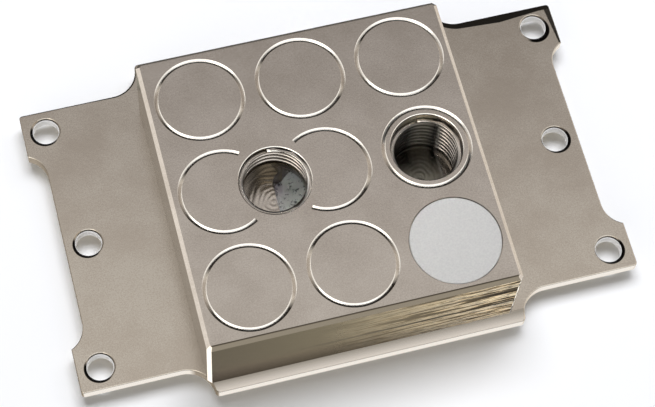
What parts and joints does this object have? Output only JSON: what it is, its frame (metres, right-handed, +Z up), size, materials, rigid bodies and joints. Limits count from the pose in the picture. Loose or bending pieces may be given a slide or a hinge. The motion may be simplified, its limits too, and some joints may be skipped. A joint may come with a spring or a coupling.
{
  "type": "liquid cooling cold plate",
  "caption": "Nickel-plated liquid cooling cold plate for a processor: square top block with inlet and outlet ports over a finned base, held by a flat winged mounting bracket.",
  "frame": {"origin": "centre of the bracket's hole pattern, on the plane of the contact face", "axes": "+X towards the outlet port along the long side of the bracket, +Y to the back, +Z up out of the ports"},
  "size_m": [0.1046, 0.0676, 0.0218],
  "materials": {
    "plated_block": "satin nickel plating over brass",
    "plated_bracket": "satin nickel plating over steel",
    "plated_base": "nickel plating over copper",
    "badge": "satin anodised",
    "badge_adhesive": "matte",
    "jet_plate": "rolled stainless",
    "seal_ring": "matte",
    "clamp_screws": "stainless"
  },
  "bodies": {
    "root": {"top_block": "plated_block", "mounting_bracket": "plated_bracket", "cold_plate": "plated_base", "badge": "badge", "badge_adhesive": "badge_adhesive", "jet_plate": "jet_plate", "seal_ring": "seal_ring", "clamp_screws": "clamp_screws"}
  },
  "joints": []
}
